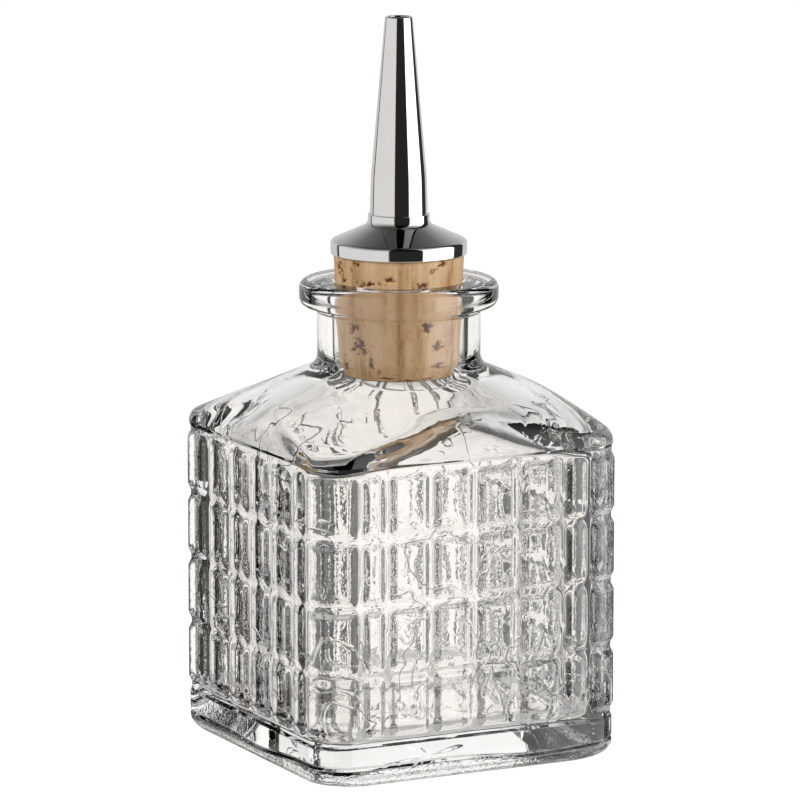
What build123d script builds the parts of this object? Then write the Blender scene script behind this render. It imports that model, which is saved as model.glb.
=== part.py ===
"""Bitters bottle: a square glass bottle with raised panes, closed by a cork that carries a metal spout.

The origin is the centre of the base on the table, +Z is up, and the four sides face X and Y.
Lengths are millimetres, angles are degrees.
"""
import os
from math import cos, radians, sin, sqrt, tan

from build123d import *

# Body of the bottle
body_width = 58.0
body_corner_radius = 6.3
heel_radius = 2.8
heel_section_shares = [0, 0.05, 0.15, 0.3, 0.5, 0.75, 1]
heel_corner_growth_share = 0.9
wall_thickness = 3.2
base_thickness = 6.6
cavity_corner_radius = 5.0
cavity_heel_radius = 4.0
cavity_crown_drop = 2.7
cavity_crown_radius = 8.0
push_up_half_width = 19.0
push_up_corner_radius = 6.0
push_up_depth = 0.8
push_up_taper = 45.0

# Panes moulded on the body
pane_relief = 0.6
plain_recess = 0.3
pane_rows = 4
row_pitch = 11.4
lowest_groove_height = 8.05
column_pitch = 8.28
narrow_pane_pitch = 5.15
groove_floor_width = 1.0
groove_bevel_width = 1.2
whole_columns = 2
body_sides = 4

# Crown: the wall rolls over into a cone that rises to the neck
crown_radius = 8.6
shoulder_slope = 22.7
crown_section_shares = [0, 0.14, 0.28, 0.42, 0.58, 0.74, 0.88, 1]
roundness_share = 0.995
cone_inset = 0.04

# Neck and ring lip
bore_radius = 11.1
bore_foot_radius = 6.0
neck_wall = 2.9
neck_foot_radius = 2.8
neck_height = 14.63
lip_overhang = 3.1
lip_thickness = 4.6
lip_upper_rounding = 1.5
lip_lower_rounding_share = 0.55
lip_undercut_rounding_share = 0.38
mouth_chamfer = 0.8

# Cork
cork_length = 23.6
cork_stand_up = 4.4
cork_foot_radius = 10.0
cork_top_radius = 11.2
cork_foot_chamfer = 0.5

# Stem tube through the cork
stem_radius = 3.0
stem_bore_radius = 2.3
stem_recess = 0.4
stem_stand_up = 1.2

# Flange cap with its collar
flange_radius = 11.7
flange_rim_height = 2.3
flange_rim_rounding = 0.8
dome_slope = 24.0
collar_radius = 5.28
collar_rise = 6.9
collar_foot_rounding = 1.3
socket_depth = 3.5

# Pouring spout
spout_foot_radius = 4.95
spout_waist_radius = 4.78
spout_waist_above_collar = 6.2
spout_tip_radius = 2.36
spout_length = 33.7
spout_wall = 0.5
spout_tip_rounding = 0.2

# Derived sizes
half_width = body_width / 2
floor_half_width = half_width - pane_relief
floor_corner_radius = body_corner_radius - pane_relief
plain_half_width = half_width - plain_recess
plain_corner_radius = body_corner_radius - plain_recess
plain_bevel_width = groove_bevel_width * (pane_relief - plain_recess) / pane_relief
groove_reach = groove_floor_width / 2 + groove_bevel_width
highest_groove_height = lowest_groove_height + pane_rows * row_pitch
heel_top = lowest_groove_height - groove_floor_width / 2
crown_start = highest_groove_height + groove_floor_width / 2 + plain_bevel_width
cavity_half_width = floor_half_width - wall_thickness
cavity_crown_start = crown_start - cavity_crown_drop
roll_angle = radians(90 - shoulder_slope)
cone_rise = tan(radians(shoulder_slope))
cone_foot_radius = plain_half_width - crown_radius * (1 - cos(roll_angle))
cone_foot_height = crown_start + crown_radius * sin(roll_angle)
neck_radius = bore_radius + neck_wall
neck_foot_height = cone_foot_height + (cone_foot_radius - neck_radius) * cone_rise
lip_radius = neck_radius + lip_overhang
lip_top_height = neck_foot_height + neck_height
lip_underside_height = lip_top_height - lip_thickness
lip_lower_rounding = lip_overhang * lip_lower_rounding_share
lip_undercut_rounding = lip_overhang * lip_undercut_rounding_share
cork_top_height = lip_top_height + cork_stand_up
cork_foot_height = cork_top_height - cork_length
collar_top_height = cork_top_height + collar_rise
socket_floor_height = collar_top_height - socket_depth
spout_waist_height = collar_top_height + spout_waist_above_collar
spout_tip_height = collar_top_height + spout_length


def square_section(half, corner_radius, height):
    """Rounded square, centred on the axis, at a height."""
    return Pos(0, 0, height) * RectangleRounded(2 * half, 2 * half, corner_radius)


def turned(corners):
    """Solid turned about the axis from (radius, height, rounding) corners."""
    points = [(radius, height) for radius, height, rounding in corners]
    roundings = [rounding for radius, height, rounding in corners]
    outline = FilletPolyline(*points, radius=roundings, close=True)
    return revolve(Plane.XZ * make_face(outline), Axis.Z)


def circle_edges(part, radius, height):
    """Circular edges of a part with a given radius, at a given height."""
    rings = part.edges().filter_by(GeomType.CIRCLE).filter_by_position(Axis.Z, height, height)
    return rings.filter_by(lambda ring: abs(ring.radius - radius) < pane_relief / 2)


def crown(half, corner_radius, start, rolled_radius):
    """Loft from the rounded square of the wall to the circle where the shoulder's cone begins.

    The wall's middle rolls over on the rolled radius. Its corners reach the same cone on a smaller
    radius, so that both leave the wall at one level and the cone's edge rises as an arch on each side.
    """
    circle_radius = half - rolled_radius * (1 - cos(roll_angle))
    rise = rolled_radius * sin(roll_angle)
    corner_reach = sqrt(2) * (half - corner_radius) + corner_radius
    sharp_height = rise - (corner_reach - circle_radius) * cone_rise
    corner_roll = sharp_height / tan(roll_angle / 2)
    sections = []
    for share in crown_section_shares:
        level = rise * share
        side = half - rolled_radius + sqrt(rolled_radius**2 - level**2)
        if level < corner_roll * sin(roll_angle):
            reach = corner_reach - corner_roll + sqrt(corner_roll**2 - level**2)
        else:
            reach = circle_radius + (rise - level) / cone_rise
        radius = (sqrt(2) * side - reach) / (sqrt(2) - 1)
        sections.append(square_section(side, min(radius, roundness_share * side), start + level))
    return loft(sections)


def pane_band(row):
    """One row of panes before its upright grooves are cut: a raised band round the body."""
    low = lowest_groove_height + row * row_pitch + groove_floor_width / 2
    high = low + row_pitch - groove_floor_width
    outlines = [
        square_section(floor_half_width, floor_corner_radius, low),
        square_section(half_width, body_corner_radius, low + groove_bevel_width),
        square_section(half_width, body_corner_radius, high - groove_bevel_width),
        square_section(floor_half_width, floor_corner_radius, high),
    ]
    return loft(outlines, ruled=True)


def groove_cutter():
    """Upright groove with bevelled flanks, cut down to the level that the panes stand on."""
    outline = Polyline(
        (-groove_floor_width / 2, floor_half_width),
        (groove_floor_width / 2, floor_half_width),
        (groove_reach, half_width),
        (groove_reach, half_width + pane_relief),
        (-groove_reach, half_width + pane_relief),
        (-groove_reach, half_width),
        close=True,
    )
    foot = lowest_groove_height + groove_floor_width / 2
    length = highest_groove_height - groove_floor_width / 2 - foot
    return extrude(Pos(0, 0, foot) * make_face(outline), length)


def groove_places():
    """Places of the upright grooves along one side, from its middle outwards."""
    places = [column * column_pitch for column in range(-whole_columns, whole_columns + 1)]
    outer_place = whole_columns * column_pitch + narrow_pane_pitch
    return places + [-outer_place, outer_place]


def make_heel():
    """Plain foot of the body: its sides roll under, and its corners grow rounder towards the table."""
    sections = []
    for share in heel_section_shares:
        level = heel_radius * share
        inset = heel_radius - sqrt(heel_radius**2 - (heel_radius - level) ** 2)
        corner_radius = plain_corner_radius + heel_corner_growth_share * inset
        sections.append(square_section(plain_half_width - inset, corner_radius, level))
    band = loft([
        square_section(plain_half_width, plain_corner_radius, heel_radius),
        square_section(plain_half_width, plain_corner_radius, heel_top - plain_bevel_width),
        square_section(floor_half_width, floor_corner_radius, heel_top),
    ], ruled=True)
    push_up_foot = square_section(push_up_half_width, push_up_corner_radius, 0)
    return loft(sections) + band - extrude(push_up_foot, push_up_depth, taper=push_up_taper)


def make_body():
    """Outside of the bottle below the crown, with its panes."""
    body = extrude(square_section(floor_half_width, floor_corner_radius, heel_top), crown_start - heel_top)
    body = body + loft([
        square_section(floor_half_width, floor_corner_radius, crown_start - plain_bevel_width),
        square_section(plain_half_width, plain_corner_radius, crown_start),
    ], ruled=True)
    for row in range(pane_rows):
        body = body + pane_band(row)
    cutter = groove_cutter()
    grooves = []
    for side in range(body_sides):
        for place in groove_places():
            grooves.append(Rot(0, 0, side * 360 / body_sides) * Pos(place, 0, 0) * cutter)
    return body - grooves


def make_neck():
    """Cone of the shoulder, neck and ring lip, turned in one."""
    return turned([
        (0, cone_foot_height, 0),
        (cone_foot_radius - cone_inset, cone_foot_height, 0),
        (neck_radius, neck_foot_height, neck_foot_radius),
        (neck_radius, lip_underside_height, lip_undercut_rounding),
        (lip_radius, lip_underside_height, lip_lower_rounding),
        (lip_radius, lip_top_height, lip_upper_rounding),
        (0, lip_top_height, 0),
    ])


def make_cavity():
    """Inside of the bottle: a smooth square hollow, its own crown and the bore that flares into it."""
    room = extrude(
        square_section(cavity_half_width, cavity_corner_radius, base_thickness),
        cavity_crown_start - base_thickness,
    )
    room = fillet(room.faces().sort_by(Axis.Z)[0].edges(), cavity_heel_radius)
    room = room + crown(cavity_half_width, cavity_corner_radius, cavity_crown_start, cavity_crown_radius)
    circle_radius = cavity_half_width - cavity_crown_radius * (1 - cos(roll_angle))
    cone_foot = cavity_crown_start + cavity_crown_radius * sin(roll_angle)
    bore_foot = cone_foot + (circle_radius - bore_radius) * cone_rise
    bore = turned([
        (0, cone_foot, 0),
        (circle_radius - cone_inset, cone_foot, 0),
        (bore_radius, bore_foot, bore_foot_radius),
        (bore_radius, lip_top_height, 0),
        (0, lip_top_height, 0),
    ])
    return room + bore


def make_bottle():
    """Glass bottle in one piece."""
    bottle = make_heel() + make_body()
    bottle = bottle + crown(plain_half_width, plain_corner_radius, crown_start, crown_radius)
    bottle = bottle + make_neck() - make_cavity()
    return chamfer(circle_edges(bottle, bore_radius, lip_top_height), mouth_chamfer)


def make_cork():
    """Tapered cork with the hole that grips the stem tube."""
    cork = turned([
        (stem_radius, cork_foot_height, 0),
        (cork_foot_radius, cork_foot_height, 0),
        (cork_top_radius, cork_top_height, 0),
        (stem_radius, cork_top_height, 0),
    ])
    return chamfer(circle_edges(cork, cork_foot_radius, cork_foot_height), cork_foot_chamfer)


def make_flange_cap():
    """Domed flange on the cork, with a rim, a collar and the socket that takes the spout."""
    rim_top = cork_top_height + flange_rim_height
    dome_top = rim_top + (flange_radius - collar_radius) * tan(radians(dome_slope))
    return turned([
        (stem_radius, cork_top_height, 0),
        (flange_radius, cork_top_height, 0),
        (flange_radius, rim_top, flange_rim_rounding),
        (collar_radius, dome_top, collar_foot_rounding),
        (collar_radius, collar_top_height, 0),
        (spout_foot_radius, collar_top_height, 0),
        (spout_foot_radius, socket_floor_height, 0),
        (stem_radius, socket_floor_height, 0),
    ])


def make_spout_cone():
    """Thin-walled conical spout, open at both ends, with its foot in the collar's socket."""
    return turned([
        (spout_foot_radius - spout_wall, socket_floor_height, 0),
        (spout_foot_radius, socket_floor_height, 0),
        (spout_foot_radius, collar_top_height, 0),
        (spout_waist_radius, spout_waist_height, 0),
        (spout_tip_radius, spout_tip_height, spout_tip_rounding),
        (spout_tip_radius - spout_wall, spout_tip_height, spout_tip_rounding),
        (spout_waist_radius - spout_wall, spout_waist_height, 0),
        (spout_foot_radius - spout_wall, collar_top_height, 0),
    ])


def make_stem_tube():
    """Tube that carries the liquid through the cork into the spout."""
    foot = cork_foot_height + stem_recess
    top = socket_floor_height + stem_stand_up
    return turned([
        (stem_bore_radius, foot, 0),
        (stem_radius, foot, 0),
        (stem_radius, top, 0),
        (stem_bore_radius, top, 0),
    ])


pieces = {
    "bottle": make_bottle(),
    "cork": make_cork(),
    "flange_cap": make_flange_cap(),
    "spout_cone": make_spout_cone(),
    "stem_tube": make_stem_tube(),
}

os.makedirs("parts", exist_ok=True)
for name, piece in pieces.items():
    export_step(piece, f"parts/{name}.step")
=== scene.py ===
from math import atan2, ceil, cos, degrees, exp, hypot, pi, radians, sin, sqrt, tan

import bmesh
import bpy
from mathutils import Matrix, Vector, noise


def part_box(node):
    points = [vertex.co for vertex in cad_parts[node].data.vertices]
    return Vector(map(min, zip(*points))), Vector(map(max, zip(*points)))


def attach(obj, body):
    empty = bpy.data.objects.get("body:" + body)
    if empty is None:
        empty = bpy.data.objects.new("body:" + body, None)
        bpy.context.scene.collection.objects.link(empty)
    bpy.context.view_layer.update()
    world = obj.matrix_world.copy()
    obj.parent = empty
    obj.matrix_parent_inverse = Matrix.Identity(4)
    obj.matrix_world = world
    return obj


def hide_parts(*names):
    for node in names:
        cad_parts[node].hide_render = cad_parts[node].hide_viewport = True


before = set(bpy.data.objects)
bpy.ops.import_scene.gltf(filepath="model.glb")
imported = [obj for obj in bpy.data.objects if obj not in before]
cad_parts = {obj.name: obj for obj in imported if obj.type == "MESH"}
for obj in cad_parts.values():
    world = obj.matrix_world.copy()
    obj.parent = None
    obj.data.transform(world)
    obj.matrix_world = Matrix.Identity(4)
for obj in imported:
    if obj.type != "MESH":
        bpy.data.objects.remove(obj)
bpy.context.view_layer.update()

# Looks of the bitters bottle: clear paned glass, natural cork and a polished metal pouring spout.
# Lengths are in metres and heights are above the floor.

MM = 0.001

# Places taken from the frame
bottle_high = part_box("bottle")[1]
cork_low, cork_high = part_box("cork")
flange_low, flange_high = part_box("flange_cap")
spout_low, spout_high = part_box("spout_cone")
stem_low, stem_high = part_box("stem_tube")
half_width = bottle_high.x
lip_top = bottle_high.z

# Glass body
pane_relief = 0.6 * MM
body_corner = 6.3 * MM
heel_radius = 2.8 * MM
heel_corner_growth = 0.9
plain_recess = 0.3 * MM
plain_edge_rounding = 0.4 * MM
wall = 3.2 * MM
floor_thickness = 6.6 * MM
cavity_corner = 5.0 * MM
cavity_heel = 4.0 * MM
push_up_half_width = 19.0 * MM
push_up_depth = 0.8 * MM
push_up_corner = 6.0 * MM
push_up_edge_rounding = 0.5 * MM
resting_edge_rounding = 0.4 * MM
pane_rows = 4
whole_columns = 2
row_pitch = 11.4 * MM
lowest_groove = 8.05 * MM
column_pitch = 8.28 * MM
narrow_pane_pitch = 5.15 * MM
groove_floor = 1.0 * MM
groove_bevel = 1.2 * MM
groove_bevel_shares = (-0.12, 0.12, 0.5, 0.88, 1.12)
pane_corner = 1.1 * MM

# Mould seam, a wavy groove round the heel
seam_height = 3.4 * MM
seam_depth = 0.5 * MM
seam_half_width = 0.4 * MM
seam_edge_rounding = 0.1 * MM
seam_floor_rounding = 0.08 * MM
seam_swing = 0.45 * MM
seam_reach = 1.6 * MM
# Waves of the seam: how many there are round the heel, where they start in radians, and their share
seam_waves = [(3, 1.9, 1.0), (7, 0.5, 0.6)]

# Surface of the glass
pebble_size = 0.6 * MM
flank_pebble_height = 0.05 * MM
heel_pebble_height = 0.11 * MM
heel_pebble_fade = 1.0 * MM
crease_spacing = 9.0 * MM
crease_width = 0.012
crease_height = 0.1 * MM
crease_cover = 0.48
crease_fade = 0.06
glass_tint = (0.94, 0.925, 0.9, 1)
glass_index = 1.5

# Relief of the glass that the geometry tree adds
pane_edge_softness = 0.3
rib_relief = 0.35 * MM
rib_width = 1.7 * MM
inner_wave = 0.5 * MM
inner_wave_spacing = 10.0 * MM
inner_ripple = 0.06 * MM
inner_ripple_spacing = 3.2 * MM
outer_wave = 0.06 * MM
outer_wave_spacing = 12.0 * MM

# Crown, neck and lip
crown_radius = 8.6 * MM
crown_foot_rounding = 1.3 * MM
shoulder_slope = radians(22.7)
cavity_crown_drop = 3.0 * MM
cavity_crown_radius = 7.0 * MM
neck_radius = 14.0 * MM
neck_foot_radius = 2.8 * MM
bore_radius = 11.1 * MM
bore_foot_radius = 6.0 * MM
lip_radius = 17.1 * MM
lip_thickness = 4.6 * MM
lip_upper_rounding = 1.5 * MM
lip_lower_rounding = 1.7 * MM
lip_undercut_rounding = 1.2 * MM
mouth_rounding = 0.9 * MM

# Fineness of the meshes
turn_step = radians(10)
finest_edge = 0.05 * MM
least_gap = 0.2 * MM
same_place = 0.01 * MM
body_column_step = 1.6 * MM
body_ring_step = 2.6 * MM
body_corner_steps = 6
crown_steps = 21
neck_step = 2.6 * MM
cavity_ring_step = 1.25 * MM
cavity_crown_steps = 11
floor_steps = 9
turned_columns = 160
stem_columns = 64
cork_columns = 260
cork_step = 0.3 * MM

# Cork
cork_foot_radius = 10.0 * MM
cork_foot_rounding = 0.8 * MM
cork_top_rounding = 0.3 * MM
cork_side_from = 9.5 * MM
# Painted shade on the cork's foot, fading out between these two heights above its bottom
cork_painted_shade_foot = 0.2 * MM
cork_painted_shade_top = 1.4 * MM
cork_tans = [(0.3, (0.26, 0.12, 0.045, 1)), (0.44, (0.58, 0.37, 0.19, 1)), (0.68, (0.76, 0.55, 0.34, 1))]
cork_pore_edge = (0.46, 0.2, 0.065, 1)
cork_pore_depth = (0.07, 0.025, 0.008, 1)
# Colour of the painted shade on the cork's foot
cork_painted_shade = (0.05, 0.022, 0.012, 1)
cork_band_scales = (330, 330, 12)
cork_grain_scales = (1300, 1300, 420)
cork_blotch_scale = 330.0
cork_grain_relief = 0.06 * MM
cork_blotch_relief = 0.08 * MM
pore_depth = 0.45 * MM
pore_spacing = 2.1 * MM
pore_stretch = 1.5
pore_cover = 0.665
pore_edge = 0.05
pore_surface_relief = 0.08 * MM
pit_grain_stretch = 1.6
pit_grain_scale = 1100
pit_raggedness = 1.1
pit_reach = 0.95
pit_edge = 0.5
# Large pores: degrees round from the camera to its right, height, half width and half height in mm
cork_pits = [
    (-66, 83.6, 1.2, 1.3), (-60, 82.0, 0.8, 0.5), (-47, 83.9, 0.4, 0.5), (-40, 84.9, 0.7, 0.4),
    (-31, 81.6, 1.4, 0.4), (-17, 81.8, 0.8, 0.3), (-8, 82.6, 0.9, 0.5), (41, 84.8, 0.9, 0.6),
    (33, 83.9, 0.7, 0.4), (22, 81.5, 1.5, 0.5), (-37, 71.0, 1.7, 1.2), (-42, 74.0, 1.0, 1.1),
    (36, 70.9, 1.0, 1.0), (37, 67.3, 1.2, 0.7), (-57, 67.0, 0.8, 1.9), (8, 63.2, 1.4, 0.4),
    (24, 63.5, 1.8, 0.35), (-12, 64.0, 1.5, 0.4), (26, 74.5, 0.8, 1.4), (-25, 68.0, 0.5, 1.5),
]

# Flange cap, spout and stem tube
stem_radius = 3.0 * MM
stem_bore = 2.3 * MM
rim_height = 2.3 * MM
rim_lower_rounding = 0.25 * MM
rim_upper_rounding = 0.8 * MM
dome_slope = radians(24)
collar_radius = 5.28 * MM
collar_foot_rounding = 1.3 * MM
collar_top_rounding = 0.15 * MM
spout_wall = 0.5 * MM
spout_waist_radius = 4.78 * MM
spout_waist_rise = 6.2 * MM
spout_waist_rounding = 25 * MM
spout_tip_radius = 2.36 * MM
tip_outer_rounding = 0.25 * MM
tip_inner_rounding = 0.2 * MM
turned_line_scales = (60, 60, 9000)
smudge_scale = 220.0
# Finishes: brightness, roughness where clean and where worn, and height of the turned lines
polished_finish = (0.93, 0.02, 0.07, 0.0004 * MM)
drawn_finish = (0.66, 0.18, 0.32, 0.003 * MM)

# Camera, from the grid of grooves in the photograph
camera_focal_pixels = 5500
picture_width = 800
sensor_width = 36
camera_distance = 945 * MM
camera_pitch = radians(10.06)
camera_turn = radians(26.9)
camera_side_shift = 0.2 * MM
aim_height = 60.12 * MM

# Floor: its size, and its glow and paint as the camera and as other rays meet them
floor_radius = 0.25
floor_segments = 96
floor_glow = 0.85
floor_paint_seen = 0.3
floor_paint = 0.75

# Studio tones by direction: degrees round from the camera to its right, and degrees of height
metal_panels = [
    (-180, 0.62), (-129, 0.62), (-127, 0.03), (-122, 0.03), (-120, 0.74), (-18, 0.76), (-16, 0.02),
    (41, 0.02), (43, 2.2), (105, 2.2), (107, 0.03), (136, 0.03), (138, 0.62), (180, 0.62),
]
glass_panels = [
    (-180, 1.08), (-129, 1.08), (-127, 0.03), (-122, 0.03), (-120, 1.1), (-22, 1.0), (-14, 0.45), (16, 0.45),
    (24, 0.9), (42, 0.9), (44, 1.5), (105, 1.5), (107, 0.03), (136, 0.03), (138, 1.08), (180, 1.08),
]
metal_heights = [(-90, 1.0), (8, 1.0), (29, 0.6), (45, 0.24), (60, 0.1), (90, 0.05)]
glass_heights = [(-90, 1.0), (8, 1.0), (25, 0.7), (40, 0.1), (60, 0.04), (90, 0.04)]
tone_limit = 4.0
table_tone = 0.5
table_full_below = radians(-38)
table_gone_above = radians(-22)
diffuse_tone_drop = 0.35

# Cards low beside the backdrop: degrees round, distance, half width, foot, top, and tone
low_cards = [
    (-133, 0.09, 0.04, -0.02, 0.04, 0.03),
    (118, 0.09, 0.045, -0.02, 0.04, 0.03),
    (-163, 0.3, 0.03, -0.2, 0.004, 0.12),
    (163, 0.3, 0.03, -0.2, 0.004, 0.12),
]

# Lamps: name, side and power, and how both stand
side_lamps = [("left_lamp", -1, 2.0), ("right_lamp", 1, 2.5)]
lamp_size = 0.4
lamp_reach = 0.6
lamp_forward = 0.35
lamp_height = 0.45
lamp_aim_height = 0.06

# Worked out from the values above
body_half = half_width - pane_relief
floor_corner = body_corner - pane_relief
plain_half = half_width - plain_recess
plain_corner = body_corner - plain_recess
plain_bevel = groove_bevel * (pane_relief - plain_recess) / pane_relief
highest_groove = lowest_groove + pane_rows * row_pitch
crown_start = highest_groove + groove_floor / 2 + plain_bevel
cavity_half = body_half - wall
cavity_crown_start = crown_start - cavity_crown_drop
roll_angle = pi / 2 - shoulder_slope


def rounded_path(corners):
    """Points of a profile given as (reach, height, rounding) corners, with each rounding as an arc."""
    points = []
    for index, (reach, height, rounding) in enumerate(corners):
        here = Vector((reach, height))
        if rounding == 0:
            points.append(here)
            continue
        before = (Vector(corners[index - 1][:2]) - here).normalized()
        after = (Vector(corners[index + 1][:2]) - here).normalized()
        half_angle = before.angle(after) / 2
        centre = here + (before + after).normalized() * rounding / sin(half_angle)
        spoke = here + before * rounding / tan(half_angle) - centre
        last = here + after * rounding / tan(half_angle) - centre
        turn = atan2(spoke.x * last.y - spoke.y * last.x, spoke.dot(last))
        steps = max(2, ceil(abs(turn) * min(1 / turn_step, rounding / finest_edge)))
        for step in range(steps + 1):
            angle = turn * step / steps
            points.append(centre + Vector((
                spoke.x * cos(angle) - spoke.y * sin(angle),
                spoke.x * sin(angle) + spoke.y * cos(angle),
            )))
    return points


def spaced(path, coarse):
    """The path with points added on its long runs, so that none is longer than the coarse length."""
    points = [path[0]]
    for point in path[1:]:
        steps = max(1, ceil((point - points[-1]).length / coarse))
        start = points[-1]
        points += [start.lerp(point, (step + 1) / steps) for step in range(steps)]
    return points


def filled(marks, coarse):
    """The marks in order, with even steps of at most the coarse length between them."""
    marks = sorted(marks)
    places = []
    for low, high in zip(marks, marks[1:]):
        steps = max(1, ceil((high - low) / coarse - 1e-6))
        places += [low + (high - low) * step / steps for step in range(steps)]
    return places + [marks[-1]]


def groove_marks(centre):
    """Places across one groove: its middle and the rounded edges at the foot and top of each flank."""
    marks = [centre]
    for side in (-1, 1):
        for share in groove_bevel_shares:
            marks.append(centre + side * (groove_floor / 2 + share * groove_bevel))
    return marks


def section_radius(reach, corner, angle):
    """Distance from the axis to a rounded square's outline, at an angle from its nearest side's middle."""
    flat = reach - corner
    if reach * tan(abs(angle)) <= flat:
        return reach / cos(angle)
    toward = flat * (cos(angle) + sin(abs(angle)))
    return toward + sqrt(max(0, toward**2 - 2 * flat**2 + corner**2))


def side_columns():
    """Angles of the columns over one side with the distance of each from the side's middle."""
    marks = groove_marks(0)
    for column in range(1, whole_columns + 1):
        marks += groove_marks(column * column_pitch)
    marks += groove_marks(whole_columns * column_pitch + narrow_pane_pitch)
    flat = body_half - floor_corner
    half_side = [mark for mark in marks if 0 <= mark < flat - least_gap] + [flat]
    columns = [(atan2(across, body_half), across) for across in filled(half_side, body_column_step)]
    for step in range(1, body_corner_steps):
        turn = pi / 4 * step / body_corner_steps
        x = flat + floor_corner * sin(turn)
        y = flat + floor_corner * cos(turn)
        columns.append((atan2(x, y), flat + floor_corner * turn))
    mirrored = [(-angle, -across) for angle, across in reversed(columns[1:])]
    edge = (-pi / 4, -(flat + floor_corner * pi / 4))
    return [edge] + mirrored + columns


def crown_levels(half, corner, start, rolled_radius, steps):
    """Levels of a crown: the wall rolls over into the shoulder's cone, in an arch on each side."""
    rise = rolled_radius * sin(roll_angle)
    circle = half - rolled_radius * (1 - cos(roll_angle))
    corner_reach = sqrt(2) * (half - corner) + corner
    sharp_height = rise - (corner_reach - circle) * tan(shoulder_slope)
    corner_roll = sharp_height / tan(roll_angle / 2)
    levels = []
    for step in range(steps + 1):
        level = rise * sin(pi / 2 * step / steps) ** 0.5 * step / steps if step else 0
        side = half - rolled_radius + sqrt(rolled_radius**2 - level**2)
        if level < corner_roll * sin(roll_angle):
            reach = corner_reach - corner_roll + sqrt(corner_roll**2 - level**2)
        else:
            reach = circle + (rise - level) / tan(shoulder_slope)
        radius = (sqrt(2) * side - reach) / (sqrt(2) - 1)
        levels.append((side, start + level, min(radius, side)))
    return levels


def heel_levels():
    """Levels of the underside, the heel with the mould's seam, and the plain band up to the lowest groove."""
    groove_foot = lowest_groove - groove_floor / 2
    profile = [
        (0, push_up_depth, 0),
        (push_up_half_width - push_up_depth, push_up_depth, push_up_edge_rounding),
        (push_up_half_width, 0, resting_edge_rounding),
        (plain_half, 0, heel_radius),
        (plain_half, seam_height - seam_half_width, seam_edge_rounding),
        (plain_half - seam_depth, seam_height, seam_floor_rounding),
        (plain_half, seam_height + seam_half_width, seam_edge_rounding),
        (plain_half, groove_foot - plain_bevel, plain_edge_rounding),
        (body_half, groove_foot, plain_edge_rounding),
        (body_half, lowest_groove, 0),
    ]
    levels = []
    for reach, height in rounded_path(profile)[1:-1]:
        inset = plain_half - reach
        corner = plain_corner - inset
        if height < heel_radius:
            corner = plain_corner + inset * heel_corner_growth
        if inset > heel_radius + same_place:
            corner = push_up_corner
        levels.append((reach, height, corner))
    return levels


def outer_levels():
    """Levels of the outside, from the middle of the push-up to the foot of the shoulder's cone."""
    levels = heel_levels()
    rings = []
    for row in range(pane_rows + 1):
        rings += groove_marks(lowest_groove + row * row_pitch)
    rings = [ring for ring in rings if lowest_groove - same_place < ring <= highest_groove]
    levels += [(body_half, height, floor_corner) for height in filled(rings, body_ring_step)]
    for reach, height in rounded_path([
        (body_half, highest_groove, 0),
        (body_half, highest_groove + groove_floor / 2, crown_foot_rounding),
        (plain_half, crown_start, crown_foot_rounding),
        (plain_half, crown_start + crown_radius, 0),
    ])[1:-2]:
        levels.append((reach, height, plain_corner + reach - plain_half))
    crown = crown_levels(plain_half, plain_corner, crown_start, crown_radius, crown_steps)
    return levels + [level for level in crown if level[1] > levels[-1][1] + least_gap]


def neck_levels():
    """Levels of the shoulder's cone, the neck, the ring lip and the bore, down to the cavity's crown."""
    circle = plain_half - crown_radius * (1 - cos(roll_angle))
    cone_foot = crown_start + crown_radius * sin(roll_angle)
    neck_foot = cone_foot + (circle - neck_radius) * tan(shoulder_slope)
    inner_circle = cavity_half - cavity_crown_radius * (1 - cos(roll_angle))
    inner_cone_foot = cavity_crown_start + cavity_crown_radius * sin(roll_angle)
    bore_foot = inner_cone_foot + (inner_circle - bore_radius) * tan(shoulder_slope)
    path = rounded_path([
        (circle, cone_foot, 0),
        (neck_radius, neck_foot, neck_foot_radius),
        (neck_radius, lip_top - lip_thickness, lip_undercut_rounding),
        (lip_radius, lip_top - lip_thickness, lip_lower_rounding),
        (lip_radius, lip_top, lip_upper_rounding),
        (bore_radius, lip_top, mouth_rounding),
        (bore_radius, bore_foot, bore_foot_radius),
        (inner_circle, inner_cone_foot, 0),
    ])
    return [(reach, height, reach) for reach, height in spaced(path, neck_step)[1:-1]]


def inner_levels():
    """Levels of the inside, from the cavity's crown down to the middle of its floor."""
    levels = crown_levels(
        cavity_half, cavity_corner, cavity_crown_start, cavity_crown_radius, cavity_crown_steps
    )[::-1]
    for height in filled([floor_thickness + cavity_heel, cavity_crown_start], cavity_ring_step)[-2:0:-1]:
        levels.append((cavity_half, height, cavity_corner))
    for reach, height in rounded_path([
        (cavity_half, floor_thickness + 2 * cavity_heel, 0),
        (cavity_half, floor_thickness, cavity_heel),
        (0, floor_thickness, 0),
    ])[1:-1]:
        levels.append((reach, height, cavity_corner - (cavity_half - reach)))
    return levels


def shrunk_to_pole(reach, height, corner):
    """Levels of a flat floor, from near its middle out to its edge."""
    return [
        (reach * step / floor_steps, height, corner * step / floor_steps)
        for step in range(1, floor_steps)
    ]


def seam_lift(turn, height):
    """Rise and fall of the mould's seam round the heel, fading out above and below it."""
    swing = seam_swing * sum(share * sin(count * turn + start) for count, start, share in seam_waves)
    return swing * exp(-((height - seam_height) / seam_reach) ** 2)


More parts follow.
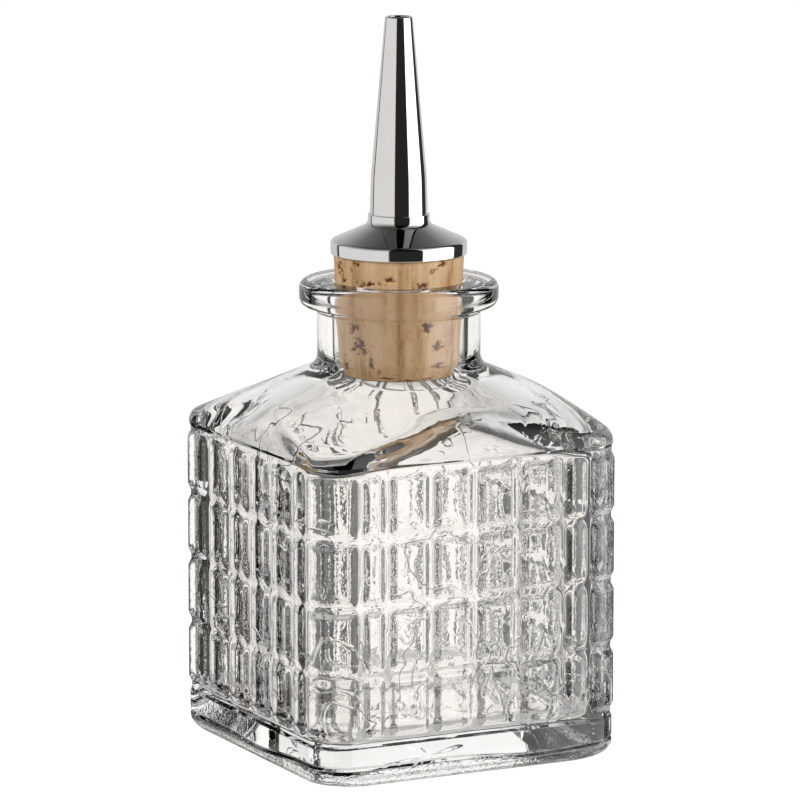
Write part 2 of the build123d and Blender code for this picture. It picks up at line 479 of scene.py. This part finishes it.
def glass_skin():
    """Closed skin of the bottle without its panes, from the push-up over the lip to the inner floor."""
    outside = outer_levels()
    inside = inner_levels()
    outside = shrunk_to_pole(*outside[0]) + outside
    inside = inside + shrunk_to_pole(*inside[-1])[::-1]
    levels = outside + neck_levels() + inside
    columns = side_columns()
    mesh = bpy.data.meshes.new("glass_skin")
    skin = bmesh.new()
    across_layer = skin.verts.layers.float.new("across")
    outer_layer = skin.verts.layers.float.new("outer")
    inner_layer = skin.verts.layers.float.new("inner")
    rings = []
    last_outer = len(outside)
    first_inner = len(levels) - len(inside)
    for number, (reach, height, corner) in enumerate(levels):
        ring = []
        for side in range(4):
            for angle, across in columns:
                radius = section_radius(reach, corner, angle)
                turn = angle + side * pi / 2
                lift = seam_lift(turn, height) if number < last_outer else 0
                vert = skin.verts.new((radius * cos(turn), radius * sin(turn), height + lift))
                vert[across_layer] = across
                vert[outer_layer] = float(number < last_outer)
                vert[inner_layer] = float(number > first_inner)
                ring.append(vert)
        rings.append(ring)
    count = len(rings[0])
    for low, high in zip(rings, rings[1:]):
        for index in range(count):
            after = (index + 1) % count
            skin.faces.new((low[index], low[after], high[after], high[index]))
    for ring, order in ((rings[0], -1), (rings[-1], 1)):
        height = ring[0].co.z
        pole = skin.verts.new((0, 0, height))
        pole[inner_layer] = float(order > 0)
        for index in range(count):
            pair = (ring[index], ring[(index + 1) % count])[::order]
            skin.faces.new((*pair, pole))
    bmesh.ops.recalc_face_normals(skin, faces=skin.faces)
    skin.to_mesh(mesh)
    skin.free()
    return mesh


class NodeBuilder:
    """Adds nodes to a tree and links what it is given to their inputs."""

    def __init__(self, tree):
        self.tree = tree

    def feed(self, node, inputs):
        """Links or sets a node's inputs, given by name or number."""
        for name, value in dict(inputs).items():
            if isinstance(value, bpy.types.NodeSocket):
                self.tree.links.new(value, node.inputs[name])
            else:
                node.inputs[name].default_value = value

    def add(self, kind, inputs=(), output=0, **settings):
        """Adds a node, sets its properties, feeds its inputs, and returns one of its outputs."""
        node = self.tree.nodes.new(kind)
        for name, value in settings.items():
            setattr(node, name, value)
        self.feed(node, inputs)
        return node.outputs[output]

    def end(self, kind, result):
        """Adds the tree's last node and gives it the result."""
        self.tree.links.new(result, self.tree.nodes.new(kind).inputs[0])

    def split(self, vector):
        """The vector's three parts."""
        parts = self.tree.nodes.new("ShaderNodeSeparateXYZ")
        self.tree.links.new(vector, parts.inputs[0])
        return parts.outputs[0], parts.outputs[1], parts.outputs[2]

    def math(self, operation, *values, clamp=False):
        """Result of one operation on up to three values."""
        return self.add("ShaderNodeMath", enumerate(values), operation=operation, use_clamp=clamp)

    def product(self, first, *others):
        """All the values multiplied together."""
        for value in others:
            first = self.math("MULTIPLY", first, value)
        return first

    def noise(self, where, scale, detail, roughness=0.5, distortion=0.0):
        """Smooth noise between 0 and 1."""
        return self.add("ShaderNodeTexNoise", {
            "Vector": where, "Scale": scale, "Detail": detail, "Roughness": roughness,
            "Distortion": distortion,
        })

    def stretched(self, where, scales):
        """The place scaled along each axis."""
        return self.add("ShaderNodeMapping", {"Vector": where, "Scale": scales})

    def ranged(self, value, low, high, at_low=0.0, at_high=1.0, smooth=False):
        """The value taken from one range into another and held within it."""
        return self.add("ShaderNodeMapRange", {
            "Value": value, "From Min": low, "From Max": high, "To Min": at_low, "To Max": at_high,
        }, interpolation_type="SMOOTHSTEP" if smooth else "LINEAR")

    def mix(self, share, first, second):
        """Number between the first, at share 0, and the second, at share 1."""
        return self.add("ShaderNodeMix", {0: share, 2: first, 3: second})

    def mix_colours(self, share, first, second):
        """Colour between the first, at share 0, and the second, at share 1."""
        return self.add("ShaderNodeMix", {0: share, 6: first, 7: second}, output=2, data_type="RGBA")

    def bell(self, value):
        """1 where the value is 0, falling off smoothly on both sides."""
        return self.math("EXPONENT", self.math("MULTIPLY", self.math("MULTIPLY", value, value), -1.0))

    def ramp(self, share, stops):
        """Colour looked up along (place, colour) stops."""
        ramp = self.tree.nodes.new("ShaderNodeValToRGB")
        self.tree.links.new(share, ramp.inputs[0])
        elements = ramp.color_ramp.elements
        while len(elements) < len(stops):
            elements.new(0.5)
        for element, (place, colour) in zip(elements, stops):
            element.position = place
            element.color = colour
        return ramp.outputs[0]

    def bump(self, height, strength=1.0):
        """Normals tilted as a relief of this height would tilt them."""
        return self.add("ShaderNodeBump", {"Strength": strength, "Distance": 1.0, "Height": height})

    def attribute(self, name):
        """Number kept on the mesh under a name, for a geometry tree."""
        return self.add("GeometryNodeInputNamedAttribute", {"Name": name}, data_type="FLOAT")

    def stored(self, mesh, name, value):
        """The mesh with a number kept on its points under a name."""
        return self.add("GeometryNodeStoreNamedAttribute", {
            "Geometry": mesh, "Name": name, "Value": value,
        }, data_type="FLOAT", domain="POINT")

    def pushed(self, mesh, shift):
        """The mesh with its points moved along their normals."""
        offset = self.add("ShaderNodeVectorMath", {
            0: self.add("GeometryNodeInputNormal"), "Scale": shift,
        }, operation="SCALE")
        return self.add("GeometryNodeSetPosition", {"Geometry": mesh, "Offset": offset})

    def end_dressed(self, mesh, material):
        """Gives the mesh its material and ends a geometry tree with it."""
        real = self.add("GeometryNodeRealizeInstances", {0: mesh})
        self.end("NodeGroupOutput", self.add("GeometryNodeSetMaterial", {0: real, "Material": material}))


def new_tree(name, start, sizes, result):
    """Geometry tree with a mesh and sizes as inputs: its builder, its inputs, and values by identifier."""
    tree = bpy.data.node_groups.new(name, "GeometryNodeTree")
    tree.interface.new_socket(start, in_out="INPUT", socket_type="NodeSocketGeometry")
    values = {}
    for label, size in sizes.items():
        socket = tree.interface.new_socket(label, in_out="INPUT", socket_type="NodeSocketFloat")
        values[socket.identifier] = size
    tree.interface.new_socket(result, in_out="OUTPUT", socket_type="NodeSocketGeometry")
    return NodeBuilder(tree), tree.nodes.new("NodeGroupInput").outputs, values


def pane_tree(material):
    """Geometry tree that raises the panes on the outside and ripples the inside of the glass."""
    build, size, values = new_tree("pane_relief", "Skin", {
        "Relief": pane_relief,
        "Column pitch": column_pitch,
        "Whole columns": float(whole_columns),
        "Narrow pane pitch": narrow_pane_pitch,
        "Row pitch": row_pitch,
        "Lowest groove": lowest_groove,
        "Highest groove": highest_groove,
        "Groove floor": groove_floor,
        "Bevel": groove_bevel,
        "Pane corner": pane_corner,
        "Edge softness": pane_edge_softness,
        "Rib relief": rib_relief,
        "Rib width": rib_width,
        "Inner wave": inner_wave,
        "Inner wave spacing": inner_wave_spacing,
        "Inner ripple": inner_ripple,
        "Inner ripple spacing": inner_ripple_spacing,
        "Outer wave": outer_wave,
        "Outer wave spacing": outer_wave_spacing,
    }, "Glass")

    def upright_distance(across):
        """Distance to the middle of the nearest upright groove."""
        share = build.math("DIVIDE", across, size["Column pitch"])
        column = build.math("MINIMUM", share, size["Whole columns"])
        whole_place = build.math("MULTIPLY", build.math("ROUND", column), size["Column pitch"])
        outer_place = build.math(
            "MULTIPLY_ADD", size["Whole columns"], size["Column pitch"], size["Narrow pane pitch"]
        )
        from_whole = build.math("ABSOLUTE", build.math("SUBTRACT", across, whole_place))
        from_outer = build.math("ABSOLUTE", build.math("SUBTRACT", across, outer_place))
        return build.math("MINIMUM", from_whole, from_outer)

    def ripple(name, where, seed):
        """Uneven surface of one of the named heights and spacings, where the mark is 1."""
        wave = build.add("ShaderNodeTexNoise", {
            "W": seed, "Scale": build.math("DIVIDE", 1.0, size[name + " spacing"]), "Detail": 1.5,
        }, noise_dimensions="4D")
        return build.product(build.math("SUBTRACT", wave, 0.5), size[name], where)

    def rib(distance):
        """Soft rib of the inner wall behind a groove, 1 at its middle."""
        return build.bell(build.math("DIVIDE", distance, size["Rib width"]))

    half_floor = build.math("MULTIPLY", size["Groove floor"], 0.5)
    outer, inner = build.attribute("outer"), build.attribute("inner")
    across = build.math("ABSOLUTE", build.attribute("across"))
    x, y, height = build.split(build.add("GeometryNodeInputPosition"))
    row = build.math("DIVIDE", build.math("SUBTRACT", height, size["Lowest groove"]), size["Row pitch"])
    row_offset = build.math("ABSOLUTE", build.math("SUBTRACT", row, build.math("ROUND", row)))
    ring_distance = build.math("MULTIPLY", row_offset, size["Row pitch"])
    from_upright = build.math("SUBTRACT", upright_distance(across), half_floor)
    from_ring = build.math("SUBTRACT", ring_distance, half_floor)

    short_across = build.math("MAXIMUM", build.math("SUBTRACT", size["Pane corner"], from_upright), 0.0)
    short_up = build.math("MAXIMUM", build.math("SUBTRACT", size["Pane corner"], from_ring), 0.0)
    short = build.math("SQRT", build.math(
        "ADD", build.math("MULTIPLY", short_across, short_across), build.math("MULTIPLY", short_up, short_up)
    ))
    into_pane = build.math("DIVIDE", build.math("SUBTRACT", size["Pane corner"], short), size["Bevel"])
    topped = build.math("SMOOTH_MIN", into_pane, 1.0, size["Edge softness"])
    softened = build.math("SMOOTH_MAX", topped, 0.0, size["Edge softness"])
    above = build.math("GREATER_THAN", height, size["Lowest groove"])
    below = build.math("LESS_THAN", height, size["Highest groove"])
    on_panes = build.product(above, below, outer)
    panes = build.product(softened, size["Relief"], on_panes)
    raised = build.product(build.math("MINIMUM", build.math("MAXIMUM", topped, 0.0), 1.0), on_panes)
    flank = build.product(raised, build.math("SUBTRACT", 1.0, raised), 4.0)

    inner_across = build.math("MINIMUM", build.math("ABSOLUTE", x), build.math("ABSOLUTE", y))
    ribs = build.math("MAXIMUM", rib(upright_distance(inner_across)), rib(ring_distance))
    ribs = build.product(ribs, build.product(above, below, inner), size["Rib relief"])
    waves = build.math("ADD", ripple("Inner wave", inner, 3.0), ripple("Inner ripple", inner, 5.0))
    inner_shift = build.math("ADD", ribs, waves)
    outer_shift = ripple("Outer wave", outer, 7.0)
    shift = build.math("ADD", panes, build.math("ADD", inner_shift, outer_shift))
    marked = build.stored(build.pushed(size["Skin"], shift), "flank", flank)
    build.end_dressed(build.add("GeometryNodeSetShadeSmooth", {0: marked}), material)
    return build.tree, values


def grown(name, mesh, tree, values):
    """Plain mesh object made by a geometry tree on a starting mesh."""
    raw = bpy.data.objects.new(name + "_start", mesh)
    bpy.context.collection.objects.link(raw)
    modifier = raw.modifiers.new("tree", "NODES")
    modifier.node_group = tree
    for identifier, value in values.items():
        modifier[identifier] = value
    graph = bpy.context.evaluated_depsgraph_get()
    result = bpy.data.meshes.new_from_object(raw.evaluated_get(graph))
    result.name = name
    bpy.data.objects.remove(raw)
    return placed(name, result)


def placed(name, mesh):
    """Object of a finished mesh, at the origin."""
    piece = bpy.data.objects.new(name, mesh)
    bpy.context.collection.objects.link(piece)
    return piece


def turned_mesh(name, path, columns):
    """Closed ring of a profile turned about the axis."""
    mesh = bpy.data.meshes.new(name)
    shape = bmesh.new()
    rings = []
    for reach, height in path:
        angles = [2 * pi * column / columns for column in range(columns)]
        rings.append([shape.verts.new((reach * cos(a), reach * sin(a), height)) for a in angles])
    for low, high in zip(rings, rings[1:] + rings[:1]):
        for index in range(columns):
            after = (index + 1) % columns
            shape.faces.new((low[index], low[after], high[after], high[index]))
    bmesh.ops.recalc_face_normals(shape, faces=shape.faces)
    shape.to_mesh(mesh)
    shape.free()
    for face in mesh.polygons:
        face.use_smooth = True
    return mesh


def turned_piece(name, path, material, columns=turned_columns):
    """Object of a turned profile in one material."""
    mesh = turned_mesh(name, path, columns)
    mesh.materials.append(material)
    return placed(name, mesh)


def emptied(owner):
    """Builder on the cleared node tree of a material or world."""
    owner.use_nodes = True
    owner.node_tree.nodes.clear()
    return NodeBuilder(owner.node_tree)


def new_material(name):
    """Material with one shader: the material, its builder and the shader."""
    material = bpy.data.materials.new(name)
    build = emptied(material)
    shader = build.tree.nodes.new("ShaderNodeBsdfPrincipled")
    build.end("ShaderNodeOutputMaterial", shader.outputs[0])
    return material, build, shader


def glass_material():
    """Clear pressed glass, pebbled on the grooves' flanks and the heel's roll, with fine mould creases."""
    material, build, shader = new_material("clear_glass")
    where = build.add("ShaderNodeTexCoord", output=3)
    outer, inner, flank = (
        build.add("ShaderNodeAttribute", output=2, attribute_name=name)
        for name in ("outer", "inner", "flank")
    )
    x, y, height = build.split(where)
    reach = build.math("MAXIMUM", build.math("ABSOLUTE", x), build.math("ABSOLUTE", y))
    under_seam = build.ranged(height, seam_height - heel_pebble_fade, seam_height, 1.0, 0.0, smooth=True)
    on_roll = build.ranged(reach, half_width - heel_radius, half_width - heel_radius / 2, smooth=True)
    heel_pebbles = build.product(under_seam, on_roll, outer, heel_pebble_height)
    pebbled = build.math("MULTIPLY_ADD", flank, flank_pebble_height, heel_pebbles)
    pebbles = build.noise(where, 1 / pebble_size, 1.0)
    contour = build.noise(where, 1 / crease_spacing, 2.0, 0.55, distortion=0.6)
    crease = build.bell(build.math("DIVIDE", build.math("SUBTRACT", contour, 0.5), crease_width))
    patches = build.noise(where, 0.5 / crease_spacing, 0.0)
    covered = build.ranged(patches, crease_cover, crease_cover + crease_fade, smooth=True)
    creased = build.product(crease, covered, build.math("MULTIPLY", inner, crease_height))
    build.feed(shader, {
        "Normal": build.bump(build.math("ADD", build.math("MULTIPLY", pebbles, pebbled), creased)),
        "Base Color": glass_tint,
        "Roughness": 0.0,
        "IOR": glass_index,
        "Transmission Weight": 1.0,
    })
    return material


def metal_finish(name, tone, smooth, worn, line_height):
    """Turned metal: fine lines round the axis, faint smudges, and roughness between two limits."""
    material, build, shader = new_material(name)
    where = build.add("ShaderNodeTexCoord", output=3)
    lines = build.noise(build.stretched(where, turned_line_scales), 1.0, 2.0)
    smudges = build.noise(where, smudge_scale, 4.0, 0.65)
    deep = (tone * 0.9, tone * 0.88, tone * 0.86, 1)
    pale = (tone, tone * 0.985, tone * 0.965, 1)
    build.feed(shader, {
        "Roughness": build.ranged(build.math("MULTIPLY", lines, smudges), 0.15, 0.4, smooth, worn),
        "Base Color": build.mix_colours(smudges, deep, pale),
        "Normal": build.bump(build.math("MULTIPLY", lines, line_height)),
        "Metallic": 1.0,
    })
    return material


def polished_metal():
    """Mirror-polished chromed metal of the flange cap and the spout."""
    return metal_finish("polished_metal", *polished_finish)


def plain_metal():
    """Drawn tube of the stem, less bright than the parts that show."""
    return metal_finish("plain_metal", *drawn_finish)


def cork_material():
    """Natural cork: tan grain drawn upwards in bands, darker specks, brown pores, and painted shade on its
    foot.
    """
    material, build, shader = new_material("natural_cork")
    where = build.add("ShaderNodeTexCoord", output=3)
    height = build.split(where)[2]
    pit = build.add("ShaderNodeAttribute", output=2, attribute_name="pit")
    bands = build.noise(build.stretched(where, cork_band_scales), 1.0, 3.0, 0.6)
    grain = build.noise(build.stretched(where, cork_grain_scales), 1.0, 4.0, 0.7)
    blotch = build.noise(where, cork_blotch_scale, 4.0, 0.65)
    mixed = build.math("MULTIPLY_ADD", bands, 0.7, build.math("MULTIPLY", grain, 0.3))
    tan_tone = build.ramp(mixed, cork_tans)
    speck = build.ranged(blotch, 0.58, 0.68, at_high=0.6)
    in_pore = build.ranged(pit, 0.05, 0.5, at_high=0.9)
    depth = build.ranged(build.math("MULTIPLY", pit, build.math("ADD", grain, 0.5)), 0.35, 0.85)
    pore_tone = build.mix_colours(depth, cork_pore_edge, cork_pore_depth)
    colour = build.mix_colours(build.math("MAXIMUM", speck, in_pore), tan_tone, pore_tone)
    # Painted shade: the cork darkens towards its foot
    painted_shade_share = build.ranged(
        height, cork_low.z + cork_painted_shade_foot, cork_low.z + cork_painted_shade_top, 0.85, 0.0, smooth=True
    )
    grain_relief = build.math("MULTIPLY", grain, cork_grain_relief)
    relief = build.math("ADD", grain_relief, build.math("MULTIPLY", blotch, cork_blotch_relief))
    build.feed(shader, {
        # Base colour with the painted shade on the foot
        "Base Color": build.mix_colours(painted_shade_share, colour, cork_painted_shade),
        "Normal": build.bump(relief, 0.8),
        "Roughness": build.math("MULTIPLY_ADD", grain, 0.2, 0.7),
    })
    return material


def make_bottle(material):
    """Glass bottle. Its shadow is left out, since light would pass through it."""
    tree, values = pane_tree(material)
    bottle = grown("glass_bottle", glass_skin(), tree, values)
    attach(bottle, "bottle")
    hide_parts("bottle")
    bottle.visible_shadow = False


def pit_share(point, right, towards):
    """How far inside one of the large pores a point of the cork's side lies, from 0 to 1."""
    angle = degrees(atan2(point.dot(right), point.dot(towards)))
    share = 0
    for turn, height, half_across, half_up in cork_pits:
        across = radians(angle - turn) * hypot(point.x, point.y) / (half_across * MM)
        up = (point.z - height * MM) / (half_up * MM)
        place = Vector((point.x, point.y, point.z * pit_grain_stretch)) * pit_grain_scale
        ragged = noise.fractal(place, 0.7, 2.0, 4) * pit_raggedness
        share = max(share, min(1, max(0, (pit_reach - hypot(across, up) + ragged) / pit_edge)))
    return share


def cork_tree(material):
    """Geometry tree that sinks pores into the cork and marks them for its material."""
    build, size, values = new_tree("cork_pores", "Cork", {
        "Pore depth": pore_depth,
        "Pore spacing": pore_spacing,
        "Pore stretch": pore_stretch,
        "Pore cover": pore_cover,
        "Pore edge": pore_edge,
        "Surface relief": pore_surface_relief,
    }, "Finished cork")
    across_scale = build.math("DIVIDE", 1.0, size["Pore spacing"])
    up_scale = build.math("DIVIDE", across_scale, size["Pore stretch"])
    scale = build.add("ShaderNodeCombineXYZ", {0: across_scale, 1: across_scale, 2: up_scale})
    place = build.add("ShaderNodeVectorMath", {
        0: build.add("GeometryNodeInputPosition"), 1: scale,
    }, operation="MULTIPLY")
    pattern = build.add("ShaderNodeTexNoise", {
        "Vector": place, "W": 11.0, "Scale": 1.0, "Detail": 3.0, "Roughness": 0.6,
    }, noise_dimensions="4D")
    over_cover = build.math("SUBTRACT", pattern, size["Pore cover"])
    small_pores = build.math("DIVIDE", over_cover, size["Pore edge"], clamp=True)
    pit = build.math("MAXIMUM", small_pores, build.attribute("placed"))
    relief = build.math("MULTIPLY", build.math("SUBTRACT", pattern, 0.7), size["Surface relief"])
    sunk = build.math("MULTIPLY_ADD", pit, build.math("MULTIPLY", size["Pore depth"], -1.0), relief)
    marked = build.stored(size["Cork"], "pit", pit)
    build.end_dressed(build.pushed(marked, build.math("MINIMUM", sunk, 0.0)), material)
    return build.tree, values


def make_cork(material):
    """Tapered cork with a hole for the stem tube."""
    path = rounded_path([
        (stem_radius, cork_low.z, 0),
        (cork_foot_radius, cork_low.z, cork_foot_rounding),
        (cork_high.x, cork_high.z, cork_top_rounding),
        (stem_radius, cork_high.z, 0),
    ])
    mesh = turned_mesh("cork_start", spaced(path, cork_step), cork_columns)
    right, away = camera_frame()
    marks = mesh.attributes.new("placed", "FLOAT", "POINT")
    for vert, mark in zip(mesh.vertices, marks.data):
        if hypot(vert.co.x, vert.co.y) > cork_side_from:
            mark.value = pit_share(vert.co, right, -away)
    tree, values = cork_tree(material)
    cork = grown("cork_stopper", mesh, tree, values)
    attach(cork, "stopper")
    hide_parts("cork")


def make_metal(material, stem_material):
    """Flange cap, spout and stem tube."""
    rim_top = flange_low.z + rim_height
    dome_top = rim_top + (flange_high.x - collar_radius) * tan(dome_slope)
    waist_height = flange_high.z + spout_waist_rise
    flange = turned_piece("flange_cap_polished", rounded_path([
        (stem_radius, flange_low.z, 0),
        (flange_high.x, flange_low.z, rim_lower_rounding),
        (flange_high.x, rim_top, rim_upper_rounding),
        (collar_radius, dome_top, collar_foot_rounding),
        (collar_radius, flange_high.z, collar_top_rounding),
        (spout_high.x, flange_high.z, 0),
        (spout_high.x, spout_low.z, 0),
        (stem_radius, spout_low.z, 0),
    ]), material)
    spout = turned_piece("spout_polished", rounded_path([
        (spout_high.x - spout_wall, spout_low.z, 0),
        (spout_high.x, spout_low.z, 0),
        (spout_high.x, flange_high.z, 0),
        (spout_waist_radius, waist_height, spout_waist_rounding),
        (spout_tip_radius, spout_high.z, tip_outer_rounding),
        (spout_tip_radius - spout_wall, spout_high.z, tip_inner_rounding),
        (spout_waist_radius - spout_wall, waist_height, spout_waist_rounding),
        (spout_high.x - spout_wall, flange_high.z, 0),
    ]), material)
    stem = turned_piece("stem_tube_drawn", rounded_path([
        (stem_bore, stem_low.z, 0),
        (stem_radius, stem_low.z, 0),
        (stem_radius, stem_high.z, 0),
        (stem_bore, stem_high.z, 0),
    ]), stem_material, stem_columns)
    for piece, node, slot in (
        (flange, "flange_cap", "polished_metal"),
        (spout, "spout_cone", "polished_metal"),
        (stem, "stem_tube", "plain_metal"),
    ):
        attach(piece, "stopper")
        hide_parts(node)


def camera_frame():
    """Level directions towards the right and away from the camera."""
    away = Vector((sin(camera_turn), cos(camera_turn), 0))
    right = Vector((cos(camera_turn), -sin(camera_turn), 0))
    return right, away


def make_camera():
    """Camera with a long lens, looking slightly down."""
    right, away = camera_frame()
    sight = away * cos(camera_pitch) - Vector((0, 0, sin(camera_pitch)))
    data = bpy.data.cameras.new("camera")
    data.sensor_width = sensor_width
    data.lens = camera_focal_pixels / picture_width * sensor_width
    camera = bpy.data.objects.new("camera", data)
    bpy.context.collection.objects.link(camera)
    camera.location = Vector((0, 0, aim_height)) + right * camera_side_shift - sight * camera_distance
    camera.rotation_euler = sight.to_track_quat("-Z", "Y").to_euler()
    bpy.context.scene.camera = camera


def make_floor():
    """White floor that keeps a soft shadow, and that the glass and metal don't show."""
    mesh = bpy.data.meshes.new("floor")
    shape = bmesh.new()
    bmesh.ops.create_circle(shape, cap_ends=True, segments=floor_segments, radius=floor_radius)
    shape.to_mesh(mesh)
    shape.free()
    material = bpy.data.materials.new("white_floor")
    build = emptied(material)
    seen = build.add("ShaderNodeLightPath", output="Is Camera Ray")
    glow = build.add("ShaderNodeEmission", {
        "Color": (1, 1, 1, 1), "Strength": build.math("MULTIPLY", seen, floor_glow),
    })
    white = build.math("MULTIPLY_ADD", seen, floor_paint_seen - floor_paint, floor_paint)
    paint = build.add("ShaderNodeBsdfDiffuse", {
        "Color": build.add("ShaderNodeCombineColor", {0: white, 1: white, 2: white}),
    })
    build.end("ShaderNodeOutputMaterial", build.add("ShaderNodeAddShader", {0: glow, 1: paint}))
    mesh.materials.append(material)
    floor = placed("floor", mesh)
    floor.visible_glossy = False
    floor.visible_transmission = False


def tone_by_angle(build, share, half_span, tones):
    """Tone from (degrees, tone) pairs, where the share runs from 0 to 1 over the whole span."""
    stops = [
        ((angle + half_span) / (2 * half_span), (tone / tone_limit,) * 3 + (1,))
        for angle, tone in tones
    ]
    return build.math("MULTIPLY", build.ramp(share, stops), tone_limit)


def make_world():
    """Studio round the bottle: white backdrop behind, soft panels at the sides, dark gaps between them."""
    world = bpy.data.worlds.new("studio")
    bpy.context.scene.world = world
    build = emptied(world)
    turned = build.add("ShaderNodeVectorRotate", {
        "Vector": build.add("ShaderNodeTexCoord", output=0), "Angle": camera_turn,
    }, rotation_type="Z_AXIS")
    x, y, z = build.split(turned)
    azimuth = build.math("ARCTAN2", x, build.math("MULTIPLY", y, -1.0))
    share = build.math("MULTIPLY_ADD", azimuth, 1 / (2 * pi), 0.5)
    rise = build.math("MULTIPLY_ADD", build.math("ARCSINE", z), 1 / pi, 0.5)

    def panelled(panels, heights):
        """Tones of the panels round the bottle, less towards the top."""
        level_tone = tone_by_angle(build, share, 180, panels)
        return build.math("MULTIPLY", level_tone, tone_by_angle(build, rise, 90, heights))

    in_metal = panelled(metal_panels, metal_heights)
    in_glass = panelled(glass_panels, glass_heights)
    table = build.ranged(z, sin(table_full_below), sin(table_gone_above), 1.0, 0.0, smooth=True)
    rays = build.tree.nodes.new("ShaderNodeLightPath").outputs
    mirrored = build.mix(rays["Is Transmission Ray"], in_metal, in_glass)
    studio = build.mix(table, mirrored, table_tone)
    plainly_seen = build.math("MAXIMUM", rays["Is Camera Ray"], rays["Is Diffuse Ray"])
    plain = build.math("MULTIPLY_ADD", rays["Is Diffuse Ray"], -diffuse_tone_drop, 1.0)
    build.end("ShaderNodeOutputWorld", build.add("ShaderNodeBackground", {
        "Color": (1, 1, 1, 1), "Strength": build.mix(plainly_seen, studio, plain),
    }))


def make_cards():
    """Dark and grey cards that stand low behind the bottle, seen only in its glass and metal."""
    right, away = camera_frame()
    for number, (turn, distance, half, foot, top, tone) in enumerate(low_cards):
        material = bpy.data.materials.new("card_" + str(number))
        build = emptied(material)
        build.end("ShaderNodeOutputMaterial", build.add("ShaderNodeEmission", {0: (tone, tone, tone, 1)}))
        centre = (right * sin(radians(turn)) - away * cos(radians(turn))) * distance
        along = Vector((-centre.y, centre.x, 0)).normalized() * half
        low, high = Vector((0, 0, foot)), Vector((0, 0, top))
        corners = [centre - along + low, centre + along + low, centre + along + high, centre - along + high]
        mesh = bpy.data.meshes.new("card")
        mesh.from_pydata(corners, [], [(0, 1, 2, 3)])
        mesh.materials.append(material)
        piece = placed("card_" + str(number), mesh)
        piece.visible_camera = False
        piece.visible_diffuse = False
        piece.visible_shadow = False


def make_lamps():
    """Two soft side lamps for the cork and the floor."""
    right, away = camera_frame()
    for name, side, power in side_lamps:
        data = bpy.data.lights.new(name, "AREA")
        data.size = lamp_size
        data.energy = power
        lamp = bpy.data.objects.new(name, data)
        bpy.context.collection.objects.link(lamp)
        lamp.location = right * side * lamp_reach - away * lamp_forward + Vector((0, 0, lamp_height))
        aim = Vector((0, 0, lamp_aim_height)) - lamp.location
        lamp.rotation_euler = aim.to_track_quat("-Z", "Y").to_euler()
        lamp.visible_glossy = False
        lamp.visible_transmission = False


make_bottle(glass_material())
make_cork(cork_material())
make_metal(polished_metal(), plain_metal())
make_camera()
make_floor()
make_world()
make_cards()
make_lamps()
bpy.context.scene.view_settings.view_transform = "Standard"
